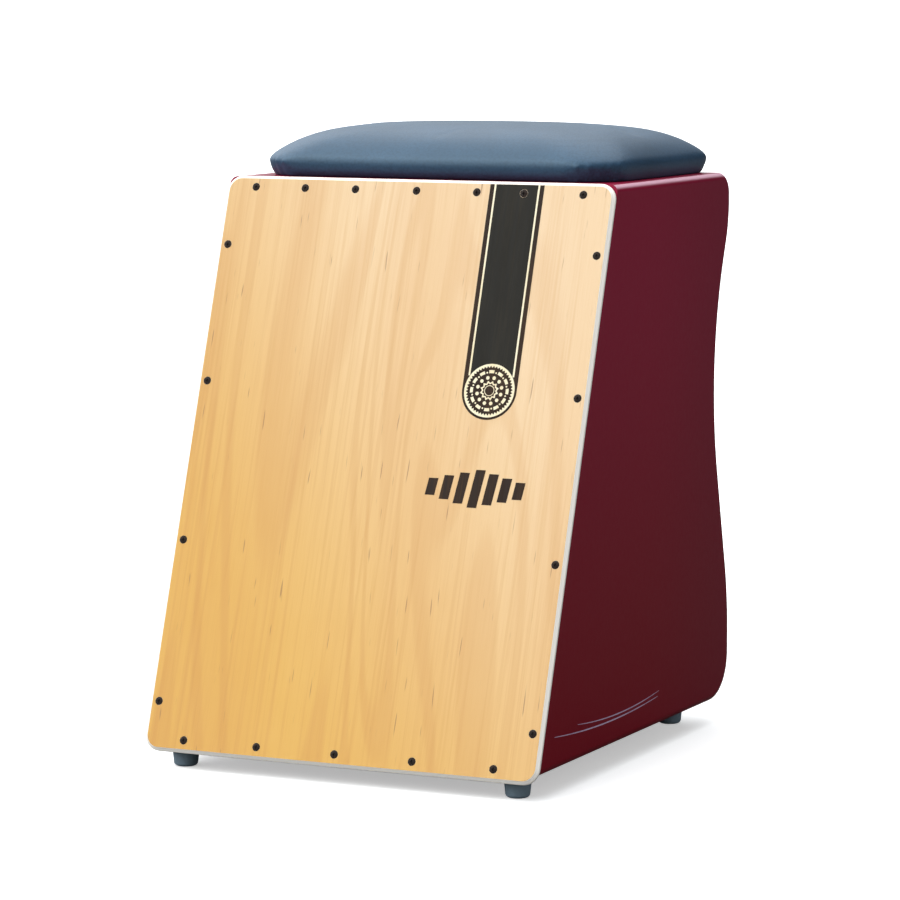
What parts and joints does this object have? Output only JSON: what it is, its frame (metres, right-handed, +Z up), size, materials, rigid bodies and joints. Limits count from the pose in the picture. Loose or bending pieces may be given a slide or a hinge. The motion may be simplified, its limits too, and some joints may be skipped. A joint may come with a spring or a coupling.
{
  "type": "cajon",
  "caption": "Box drum with a tilted wooden playing face, waisted curved back with a sound hole, upholstered seat, rubber feet and an internal swinging snare.",
  "frame": {"origin": "on the floor under the middle of the footprint", "axes": "+Z up, -Y towards the player's side where the playing face is, +X to the right seen from that side"},
  "size_m": [0.34, 0.4022, 0.502],
  "materials": {
    "painted_wood": "satin burgundy paint over board and bent plywood",
    "rail_wood": "bare sanded softwood",
    "tapa_veneer": "pine veneer with a satin lacquer",
    "seat_plywood": "bare plywood",
    "black_screw": "black oxide",
    "foot_rubber": "matt moulded rubber",
    "steel": "zinc plated",
    "clamp_steel": "zinc plated strip",
    "snare_wire": "bright coiled steel wire",
    "brass": "plain strip",
    "nylon": "moulded nylon",
    "knob_plastic": "moulded ball",
    "vinyl": "smooth upholstery vinyl with a soft sheen",
    "foam": "open-cell foam"
  },
  "bodies": {
    "box": {"back_cleat_left": "rail_wood", "back_cleat_right": "rail_wood", "back_panel": "painted_wood", "back_screws_bottom": "black_screw", "back_screws_left": "black_screw", "back_screws_right": "black_screw", "back_screws_top": "black_screw", "bottom_board": "painted_wood", "foot_front_left": "foot_rubber", "foot_front_right": "foot_rubber", "foot_rear_left": "foot_rubber", "foot_rear_right": "foot_rubber", "foot_screws": "steel", "foot_washers": "steel", "front_bottom_rail": "rail_wood", "front_top_rail": "rail_wood", "rear_bottom_rail": "painted_wood", "rear_top_rail": "painted_wood", "seat_board": "seat_plywood", "seat_bolt_washers": "steel", "seat_bolts": "steel", "seat_cover": "vinyl", "seat_foam": "foam", "seat_tee_nuts": "steel", "side_panel_left": "painted_wood", "side_panel_right": "painted_wood", "snare_bearing_left": "rail_wood", "snare_bearing_right": "rail_wood", "snare_bearing_screws": "steel", "tapa": "tapa_veneer", "tapa_screws_bottom": "black_screw", "tapa_screws_left": "black_screw", "tapa_screws_right": "black_screw", "tapa_screws_top": "black_screw", "top_board": "painted_wood"},
    "snare": {"snare_bar": "rail_wood", "snare_clamp_left": "clamp_steel", "snare_clamp_right": "clamp_steel", "snare_clamp_screws": "steel", "snare_end_plate_left": "brass", "snare_end_plate_right": "brass", "snare_knob": "knob_plastic", "snare_lever": "steel", "snare_pin_left": "steel", "snare_pin_right": "steel", "snare_top_plate_left": "brass", "snare_top_plate_right": "brass", "snare_washers": "nylon", "snare_wires_left": "snare_wire", "snare_wires_right": "snare_wire"}
  },
  "joints": [
    {"name": "snare_hinge", "type": "hinge", "parent": "box", "child": "snare", "pos_m": [0, -0.08239, 0.31275], "axis": [-1, 0, 0], "range_deg": [0, 12]}
  ]
}
